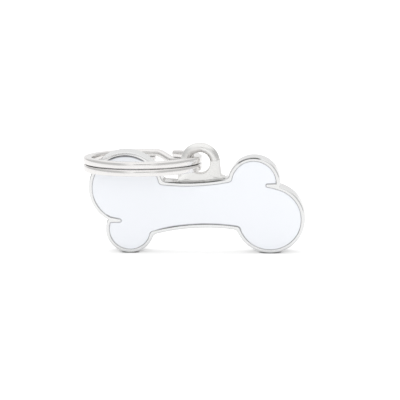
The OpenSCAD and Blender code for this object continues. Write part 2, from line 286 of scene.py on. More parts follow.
class Skin:
    """A closed mesh put together from rings, with the true normal kept at every corner."""

    def __init__(self):
        self.points, self.faces, self.normals, self.marks = [], [], [], []

    def ring(self, points, mark=0.0):
        first = len(self.points)
        self.points.extend(map(tuple, points))
        self.marks.extend(np.broadcast_to(mark, len(points)).tolist())
        return list(range(first, first + len(points)))

    def band(self, a, na, b, nb):
        """Quads from ring a to ring b, whose outsides face the way of their normals."""
        n = len(a)
        for i in range(n):
            j = (i + 1) % n
            self.add([(a[i], na[i]), (a[j], na[j]), (b[j], nb[j]), (b[i], nb[i])])

    def walls(self, rings):
        """Bands between rings that follow each other, each ring with its normals."""
        for (a, na), (b, nb) in zip(rings, rings[1:]):
            self.band(a, na, b, nb)

    def add(self, corners):
        """One face, turned to the side of its normals, with doubled corners left out."""
        ids = [c[0] for c in corners]
        p = [np.array(self.points[i]) for i in ids]
        face = np.zeros(3)
        for k in range(1, len(p) - 1):
            face += np.cross(p[k] - p[0], p[k + 1] - p[0])
        if np.linalg.norm(face) < NO_AREA:
            return
        if face @ sum(np.array(c[1]) for c in corners) < 0:
            corners = corners[::-1]
        seen, kept = set(), []
        for i, n in corners:
            key = tuple(np.round(self.points[i], FACE_DECIMALS))
            if key not in seen:
                seen.add(key)
                kept.append((i, n))
        if len(kept) > 2:
            self.faces.append([c[0] for c in kept])
            self.normals.extend(tuple(c[1]) for c in kept)

    def flat(self, loops, normal):
        """A flat face inside the first ring, with the other rings as holes in it."""
        ids = [i for loop in loops for i in loop]
        shapes = []
        for loop in loops:
            shapes.append([Vector((self.points[i][0], self.points[i][2], 0)) for i in loop])
        for tri in tessellate_polygon(shapes):
            self.add([(ids[k], normal) for k in tri])

    def piece(self, name, finish, body, nodes):
        """Writes the mesh, in metres and in its place, and hands the piece to the frame."""
        p = np.array(self.points) + [shift_x(), 0, 0]
        keys = {}
        rounded = np.round(p, MESH_DECIMALS)
        index = [keys.setdefault(tuple(k), len(keys)) for k in rounded]
        firsts = {}
        for i, k in enumerate(index):
            firsts.setdefault(k, i)
        order = [firsts[k] for k in range(len(keys))]
        faces = [[index[i] for i in face] for face in self.faces]
        mesh = bpy.data.meshes.new(name)
        mesh.from_pydata((p[order] * MM).tolist(), [], faces)
        mesh.polygons.foreach_set("use_smooth", [True] * len(mesh.polygons))
        mark = mesh.attributes.new("darkening_mark", "FLOAT", "POINT")
        mark.data.foreach_set("value", [self.marks[i] for i in order])
        mesh.normals_split_custom_set([Vector(n).normalized() for n in self.normals])
        mesh.update()
        obj = bpy.data.objects.new(name, mesh)
        bpy.context.scene.collection.objects.link(obj)
        return settle(obj, finish, body, nodes)


def settle(obj, finish, body, nodes):
    """Gives a piece its finish, and tells the frame what it rides on and replaces."""
    obj.data.materials.clear()
    obj.data.materials.append(finish)
    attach(obj, body)
    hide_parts(*nodes)
    return obj


def raised(runs, y, tilt):
    """The outline's points at depth y, and its normals turned out of the plane: tilt is
    0 for a wall and 1 for the front face."""
    p = np.concatenate([r[0] for r in runs])
    n = np.concatenate([r[1] for r in runs])
    c, s = math.cos(tilt * math.pi / 2), math.sin(tilt * math.pi / 2)
    points = np.stack([p[:, 0], np.full(len(p), y), p[:, 1]], 1)
    normals = np.stack([n[:, 0] * c, np.full(len(p), -s), n[:, 1] * c], 1)
    return points, normals


# Where the colour is painted darker, as (x, z, reach along x, reach along z, depth): on the
# plate's rounded front edge, painted shade along the upper waist under the loop's foot and a dark
# line on the upper right lobe; and where the enamel meets the rim, painted shade along the lower
# waist, along the top of the upper left lobe under the ring, and at the two creases. The first
# two also say which part of the rounding they take, from 0 at the wall to 1 at the front face.
EDGE_DARKENING = [
    # painted shade along the upper waist, under the loop's foot
    ((0.1, 12.5, 6.6, 0.9, 1.0), 0.05, 0.7),
    # a dark line along the upper right lobe's front edge
    ((8.75, 16.6, 2.6, 1.4, 1.0), 0.05, 0.9),
]
FIELD_PAINTED_SHADE = [
    # painted shade along the lower waist's edge of the enamel
    (0.2, 4.6, 9.0, 1.4, 0.6),
    # painted shadow of the rim and ring along the top of the upper left lobe
    (-12.1, 17.0, 4.6, 1.7, 1.0),
    # painted shade at the left crease
    (-14.2, 6.4, 1.9, 0.6, 0.4),
    # painted shade at the right crease
    (13.0, 12.3, 1.7, 0.5, 0.4),
]
SPOT_FADE = 0.35

# The painted shade on the rim's inner edge and the step from which the field's painted shade
# shows on it, and on the enamel the depth and width of the painted shade line along the rim, and
# how much wider the field's painted shade makes it
SHOULDER_SHADE = 0.3
SHOULDER_SHADE_FROM = 0.3
LINE_DEPTH = 0.25
LINE_W = 0.07
LINE_SHADE_SPREAD = 0.13

# Turns an outline's normals to face into the recess
INWARD = (-1, 1, -1)


def spot_darkening(points, spots):
    """How deep each point is in the spots where the colour is painted darker, 0 outside them."""
    total = np.zeros(len(points))
    for x, z, reach_x, reach_z, depth in spots:
        d = np.hypot((points[:, 0] - x) / reach_x, (points[:, 2] - z) / reach_z)
        t = np.clip((1 - d) / SPOT_FADE, 0, 1)
        total = np.maximum(total, depth * t * t * (3 - 2 * t))
    return total


def fade(distance, width, reach=1.6):
    """1 near a line and 0 from reach widths on, with one width between the two."""
    return np.clip(reach - distance / width, 0, 1)


def quarter(steps):
    """Even shares of a quarter turn, each with its sine and cosine."""
    shares = [k / steps for k in range(steps + 1)]
    return [(t, math.sin(t * math.pi / 2), math.cos(t * math.pi / 2)) for t in shares]


def make_plate(finish):
    """The cast plate: rounded outside, with a raised rim round the recess for the enamel."""
    skin = Skin()
    # back edge, wall and front edge, from the back face to the front face
    rings = []
    for t, s, c in quarter(EDGE_STEPS):
        rings.append((EDGE_R * (1 - s), HALF_THICK - EDGE_R * (1 - c), t - 1))
    for t, s, c in quarter(EDGE_STEPS):
        rings.append((EDGE_R * (1 - c), -HALF_THICK + EDGE_R * (1 - s), t))
    rings.append((EDGE_R + EDGE_STRIP, -HALF_THICK, 1))
    outside = []
    for inset, y, tilt in rings:
        p, n = raised(outline(inset, 0, BLEND_R), y, tilt)
        share = inset / EDGE_R if y < 0 else 0
        # the front edge is painted darker in the listed spots: painted shade under the loop's
        # foot, and a dark line on the upper right lobe
        mark = sum((low < share < high) * spot_darkening(p, [spot]) for spot, low, high in EDGE_DARKENING)
        outside.append((skin.ring(p, mark), n))
    skin.flat([outside[0][0]], (0, 1, 0))
    skin.walls(outside)
    # inner edge of the rim, and the wall and floor of the recess, with painted shade that deepens
    # down the inner edge and is full on the wall and floor
    inside = []
    for t, s, c in quarter(EDGE_STEPS):
        inset = RIM_WIDTH - SHOULDER_R * (1 - s)
        y = -HALF_THICK + SHOULDER_R * (1 - c)
        p, n = raised(outline(inset, RIM_WIDTH, FIELD_BLEND_R, True), y, 1 - t)
        # painted shade that deepens into the recess, with the field's painted shade past the step
        mark = SHOULDER_SHADE * t + (t > SHOULDER_SHADE_FROM) * spot_darkening(p, FIELD_PAINTED_SHADE)
        inside.append((skin.ring(p, mark), n * INWARD))
    skin.flat([outside[-1][0], inside[0][0]], (0, -1, 0))
    p, n = raised(outline(RIM_WIDTH, RIM_WIDTH, FIELD_BLEND_R, True), RECESS_Y, 0)
    # the recess's wall and floor are painted fully dark: painted shade
    inside.append((skin.ring(p, mark=1.0), n * INWARD))
    skin.walls(inside)
    skin.flat([inside[-1][0]], (0, -1, 0))
    return skin.piece("plate", finish, "tag", ["tag_body"])


def make_enamel(finish):
    """Fired enamel: level in the field, drawn up a little along the rim, with a soft edge."""
    skin = Skin()
    profile = [(ENAMEL_GAP, RECESS_Y, 0.0)]
    for t, s, c in quarter(ENAMEL_STEPS):
        way_in = ENAMEL_GAP + ENAMEL_ROUND_W * (1 - c)
        profile.append((way_in, ENAMEL_Y + ENAMEL_ROUND_FROM - ENAMEL_ROUND_H * s, t))
    for way_in, lift in ENAMEL_FALL:
        profile.append((way_in, ENAMEL_Y - lift, 1.0))
    rings = []
    for way_in, y, tilt in profile:
        inset = RIM_WIDTH + way_in
        p, n = raised(outline(inset, RIM_WIDTH, FIELD_BLEND_R, True), y, tilt)
        # painted shade along the rim, wider and deeper in the field's painted shade
        dark = spot_darkening(p, FIELD_PAINTED_SHADE)
        line = fade(way_in, LINE_W + LINE_SHADE_SPREAD * dark)
        rings.append((skin.ring(p, line * (LINE_DEPTH + (1 - LINE_DEPTH) * dark)), n))
    skin.flat([rings[0][0]], (0, 1, 0))
    skin.walls(rings)
    skin.flat([rings[-1][0]], (0, -1, 0))
    return skin.piece("enamel_face", finish, "tag", ["enamel"])


# The loop and its solder, cast and fused forms that are rounded into each other. Each is
# grown from its distance in the foot's frame: how far below the foot that starts, the share
# of a cell over which its slope is taken, and how often and how far a point is then moved.
GROWN_BELOW = 0.2
SLOPE_SHARE = 0.02
MOVES = 3
MOVE_SHARE = 0.9
NO_LENGTH = 1e-12

# The loop's painted shade: a band round the arch, outside the eye, which comes in above the
# eye's middle, and a shade that grows towards the lower right
BAND_DEPTH = 0.3
BAND_OUT = 0.5
BAND_W = 0.25
BAND_REACH = 1.3
BAND_RISE = 0.8
SIDE_SHADE_DEPTH = 0.12
SIDE_SHADE_LEAN = 0.9
SIDE_SHADE_W = 1.5
SIDE_SHADE_HALF = 0.5


def blend_min(a, b, k):
    """The smaller of two distances, rounded over a width k where they meet."""
    h = np.clip(0.5 + 0.5 * (b - a) / k, 0, 1)
    return b + (a - b) * h - k * h * (1 - h)


def foot_frame():
    """Axes and origin of the loop's foot on the waist: along it, through the plate, up."""
    s, c = math.sin(math.radians(FOOT_ANGLE)), math.cos(math.radians(FOOT_ANGLE))
    origin = np.array([WAIST_TOP[0] + WAIST_TOP[2] * s, 0, WAIST_TOP[1] - WAIST_TOP[2] * c])
    return origin, np.array([[c, 0, s], [0, 1, 0], [-s, 0, c]])


def waist_distance(p):
    """How far a point in the foot's frame is below the waist's edge."""
    return np.hypot(p[..., 0], p[..., 2] - WAIST_TOP[2]) - WAIST_TOP[2]


def box_round(a, b, r):
    """Two distances met in a rounded edge of radius r."""
    a, b = a + r, b + r
    return np.minimum(np.maximum(a, b), 0) + np.hypot(np.maximum(a, 0), np.maximum(b, 0)) - r


def loop_distance(p):
    """An arch of round wire, melted into a tab that flares out to a toe on each side."""
    x, y, z = p[..., 0], p[..., 1], p[..., 2]
    mid = EYE_R + LOOP_WIRE_R
    side = mid + LOOP_WIRE_R
    flare = FOOT_HALF - side
    up = np.maximum(z - EYE_RISE, 0)
    wire = np.hypot(np.hypot(x, up) - mid, y) - LOOP_WIRE_R
    wire = np.maximum(wire, LEG_END - z)
    lift = np.where(x < 0, TOE_LEFT, TOE_RIGHT)
    hollow = flare - np.hypot(np.abs(x) - FOOT_HALF, z - lift - flare)
    edge = np.where(z < lift + flare, hollow, np.abs(x) - side)
    edge = np.maximum(edge, np.abs(x) - FOOT_HALF)
    off_eye = np.maximum(np.abs(z - EYE_RISE + EYE_DROP / 2) - EYE_DROP / 2, 0)
    eye = EYE_R - np.hypot(x, off_eye)
    tab = np.maximum(edge, z - EYE_RISE - TAB_TOP)
    tab = box_round(np.maximum(tab, eye), np.abs(y) - TAB_HALF, TAB_EDGE_R)
    form = np.maximum(blend_min(wire, tab, MELT_W), eye)
    return box_round(form, waist_distance(p) + SOLDER_THICK, FOOT_EDGE_R)


def solder_distance(p):
    """Solder that fills the crack under the foot and runs out in a hollow fillet."""
    x, y = p[..., 0], p[..., 1]
    foot = box_round(np.abs(x) - FOOT_HALF, np.abs(y) - TAB_HALF, SOLDER_CORNER_R)
    below = waist_distance(p)
    full = SOLDER_THICK - SOLDER_UNDER_FOOT
    run_out = np.sqrt(np.clip(foot / SOLDER_MARGIN, 0, 1))
    top = -below - full * (1 - run_out)
    return np.maximum(np.maximum(foot - SOLDER_MARGIN, top), below + SOLDER_OVER_WAIST)


def grown_mesh(distance, low, high, step):
    """Surface of a form given by its distance, as points and quads: one point to a cell
    that the surface passes through, moved onto the surface."""
    axes = [np.arange(a, b + step, step) for a, b in zip(low, high)]
    grid = np.stack(np.meshgrid(*axes, indexing="ij"), -1)
    d = distance(grid)
    inside = d < 0
    cells = tuple(n - 1 for n in d.shape)
    count = np.zeros(cells, int)
    for i in range(8):
        o = [(i >> k) & 1 for k in range(3)]
        count += inside[o[0]:o[0] + cells[0], o[1]:o[1] + cells[1], o[2]:o[2] + cells[2]]
    active = (count > 0) & (count < 8)
    total, weight = np.zeros(cells + (3,)), np.zeros(cells)
    for axis in range(3):
        u, v = [k for k in range(3) if k != axis]
        a = np.take(d, range(d.shape[axis] - 1), axis)
        b = np.take(d, range(1, d.shape[axis]), axis)
        cross = (a < 0) != (b < 0)
        t = np.where(cross, a / np.where(cross, a - b, 1), 0)
        for du in (0, 1):
            for dv in (0, 1):
                s = [slice(None)] * 3
                s[u], s[v] = slice(du, du + cells[u]), slice(dv, dv + cells[v])
                w = cross[tuple(s)].astype(float)
                off = [None] * 3
                off[axis], off[u], off[v] = t[tuple(s)], du * np.ones(cells), dv * np.ones(cells)
                total += np.stack(off, -1) * w[..., None]
                weight += w
    base = np.stack(np.meshgrid(*[np.arange(n) for n in cells], indexing="ij"), -1)
    p = (base + total / np.maximum(weight, 1)[..., None])[active] * step + np.array(low)
    ids = -np.ones(cells, int)
    ids[active] = np.arange(active.sum())
    quads = []
    for axis in range(3):
        u, v = (axis + 1) % 3, (axis + 2) % 3
        a = np.take(inside, range(d.shape[axis] - 1), axis)
        b = np.take(inside, range(1, d.shape[axis]), axis)
        for flip, hit in ((False, a & ~b), (True, ~a & b)):
            where = np.argwhere(hit)
            at_u, at_v = where[:, u], where[:, v]
            keep = (at_u > 0) & (at_v > 0) & (at_u < cells[u]) & (at_v < cells[v])
            where = where[keep]
            corner = []
            for du, dv in ((-1, -1), (0, -1), (0, 0), (-1, 0)):
                w = where.copy()
                w[:, u] += du
                w[:, v] += dv
                corner.append(ids[w[:, 0], w[:, 1], w[:, 2]])
            q = np.stack(corner, 1)
            quads.append(q[:, ::-1] if flip else q)
    h = step * SLOPE_SHARE

    def slope(p):
        g = np.stack([distance(p + h * e) - distance(p - h * e) for e in np.eye(3)], -1)
        return g / np.maximum(np.linalg.norm(g, axis=-1, keepdims=True), NO_LENGTH)

    for _ in range(MOVES):
        p = p - slope(p) * np.clip(distance(p), -step, step)[:, None] * MOVE_SHARE
    return p, np.concatenate(quads), slope(p)


def grey_marks(p):
    """How deep the painted shade is at each point of a form on the waist, given in the foot's
    frame.
    """
    eye = np.hypot(p[:, 0], p[:, 2] - EYE_RISE)
    band = BAND_DEPTH * fade(np.abs(eye - EYE_R - BAND_OUT), BAND_W, BAND_REACH)
    arch = band * np.clip((p[:, 2] - EYE_RISE) / BAND_RISE, 0, 1)
    lower_right = (p[:, 0] * SIDE_SHADE_LEAN - p[:, 2] + EYE_RISE) / SIDE_SHADE_W
    side_shade = SIDE_SHADE_DEPTH * np.clip(SIDE_SHADE_HALF + lower_right, 0, 1)
    return np.maximum(arch, side_shade)


def grown_piece(name, finish, nodes, distance, past_foot, half_depth, top, cell):
    """A piece grown in the foot's frame and set on the waist."""
    low = (-FOOT_HALF - past_foot, -half_depth, -GROWN_BELOW)
    high = (FOOT_HALF + past_foot, half_depth, top)
    p, quads, n = grown_mesh(distance, low, high, cell)
    origin, axes = foot_frame()
    n = n @ axes
    skin = Skin()
    skin.points = [tuple(v) for v in p @ axes + origin]
    # the loop's painted shade, as darkening marks
    skin.marks = grey_marks(p).tolist()
    skin.faces = quads.tolist()
    skin.normals = [tuple(n[i]) for q in skin.faces for i in q]
    return skin.piece(name, finish, "tag", nodes)


def make_loop(finish):
    arch_top = EYE_RISE + EYE_R + 2 * LOOP_WIRE_R
    return grown_piece(
        "hanging_loop", finish, ["loop"], loop_distance,
        past_foot=0.2, half_depth=1, top=arch_top + 0.15, cell=0.07,
    )


def make_solder(finish):
    return grown_piece(
        "solder_fillet", finish, ["solder"], solder_distance,
        past_foot=0.4, half_depth=1.1, top=0.5, cell=0.04,
    )


# The split ring: one wire swept along two turns and the step between them. A painted shade line
# lies in the gap between the turns, so many degrees clear of the step.
GAP_LINE_W = 0.05
STEP_MARGIN = 1


def node_tree(name, inputs):
    """A geometry tree with one geometry output and named number inputs."""
    tree = bpy.data.node_groups.new(name, "GeometryNodeTree")
    tree.interface.new_socket("Geometry", in_out="OUTPUT", socket_type="NodeSocketGeometry")
    for label, kind, value in inputs:
        s = tree.interface.new_socket(label, in_out="INPUT", socket_type=kind)
        if value is not None:
            s.default_value = value
    return tree


def join(tree, pairs):
    for a, b in pairs:
        tree.links.new(a, b)


def math_node(tree, kind, a, b=None, c=None):
    n = tree.nodes.new("ShaderNodeMath")
    n.operation = kind
    for socket, value in zip(n.inputs, (a, b, c)):
        if value is None:
            continue
        if isinstance(value, (int, float)):
            socket.default_value = value
        else:
            tree.links.new(value, socket)
    return n.outputs[0]


RING_INPUTS = [
    ("Ring Radius", "NodeSocketFloat", (RING_D - WIRE_W) / 2 * MM),
    ("Wire Width", "NodeSocketFloat", WIRE_W * MM),
    ("Wire Height", "NodeSocketFloat", WIRE_H * MM),
    ("Top Flatness", "NodeSocketFloat", 6.0),
    ("Side Flatness", "NodeSocketFloat", 2.4),
    ("Turn Pitch", "NodeSocketFloat", TURN_PITCH * MM),
    ("First End", "NodeSocketFloat", math.radians(STEP_FROM + STEP_SPAN + END_GAP)),
    ("Last End", "NodeSocketFloat", math.radians(720 + STEP_FROM - END_GAP)),
    ("Step From", "NodeSocketFloat", math.radians(360 + STEP_FROM)),
    ("Step Span", "NodeSocketFloat", math.radians(STEP_SPAN)),
    ("Points", "NodeSocketInt", 561),
    ("Finish", "NodeSocketMaterial", None),
]


def ring_tree():
    tree = node_tree("wound_ring", RING_INPUTS)
    new = tree.nodes.new
    size = new("NodeGroupInput").outputs
    # the wire's middle line: even steps in angle, level but for the step
    line = new("GeometryNodeCurvePrimitiveLine")
    line.inputs["End"].default_value = (1, 0, 0)
    fine = new("GeometryNodeResampleCurve")
    share = new("GeometryNodeSplineParameter")
    turn = new("ShaderNodeMapRange")
    join(tree, [
        (line.outputs[0], fine.inputs["Curve"]),
        (size["Points"], fine.inputs["Count"]),
        (share.outputs["Factor"], turn.inputs["Value"]),
        (size["First End"], turn.inputs["To Min"]),
        (size["Last End"], turn.inputs["To Max"]),
    ])
    around = turn.outputs[0]
    rise = new("ShaderNodeMapRange")
    rise.interpolation_type = "SMOOTHSTEP"
    def times(a, b):
        return math_node(tree, "MULTIPLY", a, b)

    half = times(size["Turn Pitch"], 0.5)
    join(tree, [
        (around, rise.inputs["Value"]),
        (size["Step From"], rise.inputs["From Min"]),
        (math_node(tree, "ADD", size["Step From"], size["Step Span"]), rise.inputs["From Max"]),
        (times(half, -1.0), rise.inputs["To Min"]),
        (half, rise.inputs["To Max"]),
    ])
    at = new("ShaderNodeCombineXYZ")
    place = new("GeometryNodeSetPosition")
    upright = new("GeometryNodeSetCurveNormal")
    upright.mode = "Z_UP"
    join(tree, [
        (times(math_node(tree, "COSINE", around), size["Ring Radius"]), at.inputs[0]),
        (times(math_node(tree, "SINE", around), size["Ring Radius"]), at.inputs[1]),
        (rise.outputs[0], at.inputs[2]),
        (fine.outputs[0], place.inputs["Geometry"]),
        (at.outputs[0], place.inputs["Position"]),
        (place.outputs[0], upright.inputs[0]),
    ])
    # the wire's section: crowned sides, and a flatter top and bottom
    ring = new("GeometryNodeCurvePrimitiveCircle")
    ring.inputs["Resolution"].default_value = SECTION_POINTS
    ring.inputs["Radius"].default_value = 1
    here = new("GeometryNodeInputPosition")
    parts = new("ShaderNodeSeparateXYZ")
    section = new("ShaderNodeCombineXYZ")
    ways = (("Wire Width", "Top Flatness"), ("Wire Height", "Side Flatness"))
    for k, (width, flatness) in enumerate(ways):
        value = parts.outputs[k]
        power = math_node(tree, "DIVIDE", 2.0, size[flatness])
        bent = math_node(tree, "POWER", math_node(tree, "ABSOLUTE", value), power)
        signed = times(bent, math_node(tree, "SIGN", value))
        tree.links.new(times(signed, times(size[width], 0.5)), section.inputs[k])
    shaped = new("GeometryNodeSetPosition")
    sweep = new("GeometryNodeCurveToMesh")
    sweep.inputs["Fill Caps"].default_value = True
    real = new("GeometryNodeRealizeInstances")
    coat = new("GeometryNodeSetMaterial")
    join(tree, [
        (here.outputs[0], parts.inputs[0]),
        (ring.outputs[0], shaped.inputs["Geometry"]),
        (section.outputs[0], shaped.inputs["Position"]),
        (upright.outputs[0], sweep.inputs["Curve"]),
        (shaped.outputs[0], sweep.inputs["Profile Curve"]),
        (sweep.outputs[0], real.inputs[0]),
        (real.outputs[0], coat.inputs["Geometry"]),
        (size["Finish"], coat.inputs["Material"]),
        (coat.outputs[0], new("NodeGroupOutput").inputs[0]),
    ])
    return tree


def grown_by_nodes(name, tree, values):
    """Runs a tree on an empty mesh and returns the plain mesh that it makes."""
    host = bpy.data.objects.new(name + "_host", bpy.data.meshes.new(name + "_host"))
    bpy.context.scene.collection.objects.link(host)
    nodes = host.modifiers.new("shape", "NODES")
    nodes.node_group = tree
    for item in tree.interface.items_tree:
        if item.in_out == "INPUT" and item.name in values:
            nodes[item.identifier] = values[item.name]
    view = bpy.context.evaluated_depsgraph_get()
    mesh = bpy.data.meshes.new_from_object(host.evaluated_get(view), depsgraph=view)
    host.modifiers.remove(nodes)
    bpy.data.objects.remove(host)
    mesh.name = name
    return mesh


def make_ring(finish):
    """The ring as its tree winds it, laid through the eye: it turns about the swing's axis,
    and leans as the record's axis for it says."""
    values = {label: value for label, _, value in RING_INPUTS if value is not None}
    values["Finish"] = finish
    mesh = grown_by_nodes("wound_ring", ring_tree(), values)
    record = frame["record"]
    swing = Vector(record["behaviour"]["joints"][0]["pos_m"])
    axis = next(m["axis"] for m in record["mounts"] if m["name"] == "collar_ring")
    lean = math.atan2(-axis[0], axis[2])
    place = (
        Matrix.Translation(swing)
        @ Matrix.Rotation(-lean, 4, "Y")
        @ Matrix.Rotation(-math.radians(RING_ROLL), 4, "X")
        @ Matrix.Translation(Vector((-RING_OUT * MM, 0, 0)))
    )
    at = np.empty(len(mesh.vertices) * 3)
    mesh.vertices.foreach_get("co", at)
    at = at.reshape(-1, 3) / MM
    round_it = np.degrees(np.arctan2(at[:, 1], at[:, 0])) % 360
    before, after = STEP_FROM - STEP_MARGIN, STEP_FROM + STEP_SPAN + STEP_MARGIN
    off_step = (round_it < before) | (round_it > after)
    # painted shade along the gap between the turns
    line = fade(np.abs(at[:, 2]), GAP_LINE_W)
    mark = mesh.attributes.new("darkening_mark", "FLOAT", "POINT")
    mark.data.foreach_set("value", np.where(off_step, line, 0))
    mesh.transform(place)
    # the quads along the wire are smooth, and its two cut ends are flat
    mesh.polygons.foreach_set("use_smooth", [len(p.vertices) < 5 for p in mesh.polygons])
    mesh.update()
    obj = bpy.data.objects.new("wound_ring", mesh)
    bpy.context.scene.collection.objects.link(obj)
    return settle(obj, finish, "ring", ["split_ring"])


# Finishes. The polish: the turn and the scale of its rub marks, its lowest roughness, and the
# shares of clouds and hairs in its relief, whose depth is in metres. The painted darkening: the
# levels of noise between which it deepens, and how much of it is left where it is faintest.
RUB_TURN = (0.2, 0.1, 0.35)
RUB_SCALE = (300, 2600, 2600)
LEAST_ROUGHNESS = 0.03
CLOUD_SHARE = 0.7
HAIR_SHARE = 0.3
RELIEF_DEPTH = 0.00002
PATCH_FROM = 0.3
PATCH_TO = 0.65
PATCH_LEAST = 0.65
NUMBER = "NodeSocketFloat"
COLOUR = "NodeSocketColor"


def effect(name, inputs, outputs):
    """A shader group with named inputs and outputs."""
    tree = bpy.data.node_groups.new(name, "ShaderNodeTree")
    for label, kind, value in inputs:
        tree.interface.new_socket(label, in_out="INPUT", socket_type=kind).default_value = value
    for label, kind in outputs:
        tree.interface.new_socket(label, in_out="OUTPUT", socket_type=kind)
    return tree, tree.nodes.new("NodeGroupInput").outputs, tree.nodes.new("NodeGroupOutput").inputs


def noise(tree, where, scale, detail=2.0, roughness=0.5):
    n = tree.nodes.new("ShaderNodeTexNoise")
    n.inputs["Detail"].default_value = detail
    n.inputs["Roughness"].default_value = roughness
    tree.links.new(where, n.inputs["Vector"])
    if isinstance(scale, (int, float)):
        n.inputs["Scale"].default_value = scale
    else:
        tree.links.new(scale, n.inputs["Scale"])
    return n.outputs["Fac"]


def polish_group():
    """Buffed plate: slow clouds in the gloss, hair-fine rub marks along one direction."""
    tree, given, out = effect(
        "buffed_polish",
        [
            ("Roughness", NUMBER, 0.12),
            ("Cloud", NUMBER, 0.04),
            ("Rub", NUMBER, 0.03),
            ("Scale", NUMBER, 260.0),
        ],
        [("Roughness", NUMBER), ("Height", NUMBER)],
    )

    def times(a, b):
        return math_node(tree, "MULTIPLY", a, b)

    here = tree.nodes.new("ShaderNodeTexCoord").outputs["Object"]
    clouds = noise(tree, here, given["Scale"], detail=3.0, roughness=0.6)
    stretch = tree.nodes.new("ShaderNodeMapping")
    stretch.inputs["Rotation"].default_value = RUB_TURN
    stretch.inputs["Scale"].default_value = RUB_SCALE
    tree.links.new(here, stretch.inputs["Vector"])
    hairs = noise(tree, stretch.outputs[0], scale=1.0, roughness=0.6)
    cloud = times(math_node(tree, "SUBTRACT", clouds, 0.5), given["Cloud"])
    rub = times(math_node(tree, "SUBTRACT", hairs, 0.5), given["Rub"])
    total = math_node(tree, "ADD", math_node(tree, "ADD", given["Roughness"], cloud), rub)
    height = math_node(tree, "ADD", times(clouds, CLOUD_SHARE), times(hairs, HAIR_SHARE))
    join(tree, [
        (math_node(tree, "MAXIMUM", total, LEAST_ROUGHNESS), out["Roughness"]),
        (height, out["Height"]),
    ])
    return tree


def darkening_group():
    """Painted darkening: darkens the colour where the piece's darkening mark is high, in patches.
    The marks are painted shade in gaps, recesses and creases, under the loop's foot and on the
    loop's shaded side, besides a dark line on the plate's upper right edge."""
    tree, given, out = effect(
        "painted_darkening",
        [
            ("Undarkened", COLOUR, (1, 1, 1, 1)),
            ("Darkened", COLOUR, (0.2, 0.2, 0.2, 1)),
            ("Amount", NUMBER, 0.6),
            ("Patch Scale", NUMBER, 500.0),
        ],
        [("Color", COLOUR), ("Mask", NUMBER)],
    )
    new = tree.nodes.new
    darkening_mark = new("ShaderNodeAttribute")
    darkening_mark.attribute_name = "darkening_mark"
    here = new("ShaderNodeTexCoord").outputs["Object"]
    ramp = new("ShaderNodeMapRange")
    ramp.inputs["From Min"].default_value = PATCH_FROM
    ramp.inputs["From Max"].default_value = PATCH_TO
    ramp.inputs["To Min"].default_value = PATCH_LEAST
    tree.links.new(noise(tree, here, given["Patch Scale"]), ramp.inputs["Value"])
    patchy = math_node(tree, "MULTIPLY", darkening_mark.outputs["Fac"], ramp.outputs[0])
    mask = math_node(tree, "MULTIPLY", patchy, given["Amount"])
    mix = new("ShaderNodeMix")
    mix.data_type = "RGBA"
    join(tree, [
        (mask, mix.inputs["Factor"]),
        (given["Undarkened"], mix.inputs["A"]),
        (given["Darkened"], mix.inputs["B"]),
        (mix.outputs["Result"], out["Color"]),
        (mask, out["Mask"]),
    ])
    return tree


POLISH = polish_group()
DARKENING = darkening_group()


def material(name, bump, **gloss):
    """A finish whose roughness and fine relief come from the buffed polish."""
    m = bpy.data.materials.new(name)
    m.use_nodes = True
    t = m.node_tree
    shader = t.nodes["Principled BSDF"]
    polish = t.nodes.new("ShaderNodeGroup")
    polish.node_tree = POLISH
    for label, value in gloss.items():
        polish.inputs[label].default_value = value
    relief = t.nodes.new("ShaderNodeBump")
    relief.inputs["Strength"].default_value = bump
    relief.inputs["Distance"].default_value = RELIEF_DEPTH
    join(t, [
        (polish.outputs["Roughness"], shader.inputs["Roughness"]),
        (polish.outputs["Height"], relief.inputs["Height"]),
        (relief.outputs["Normal"], shader.inputs["Normal"]),
    ])
    return m, t, shader


def darken_on(t, shader, colour, dark_tone):
    """The finish's colour, darkened along the piece's marks, which are mostly painted shade."""
    darkening_mark = t.nodes.new("ShaderNodeGroup")
    darkening_mark.node_tree = DARKENING
    darkening_mark.inputs["Undarkened"].default_value = (*colour, 1)
    darkening_mark.inputs["Darkened"].default_value = (*dark_tone, 1)
    darkening_mark.inputs["Amount"].default_value = 1
    t.links.new(darkening_mark.outputs["Color"], shader.inputs["Base Color"])


def plated(name, colour, roughness, cloud, rub, bump, dark_tone=None, metallic=1):
    """Plated metal. Without a dark tone for painted shade its colour is the same all over."""
    m, t, shader = material(name, bump, Roughness=roughness, Cloud=cloud, Rub=rub)
    shader.inputs["Metallic"].default_value = metallic
    if dark_tone:
        darken_on(t, shader, colour, dark_tone)
    else:
        shader.inputs["Base Color"].default_value = (*colour, 1)
    return m


def fired_enamel(name, colour, dark_tone):
    """Glossy enamel with a clear coat, and painted shade along the rim."""
    m, t, shader = material(name, bump=0.15, Roughness=0.16, Cloud=0.03, Rub=0.02, Scale=180)
    shader.inputs["Coat Weight"].default_value = 0.4
    shader.inputs["Coat Roughness"].default_value = 0.04
    shader.inputs["IOR"].default_value = 1.5
    darken_on(t, shader, colour, dark_tone)
    return m


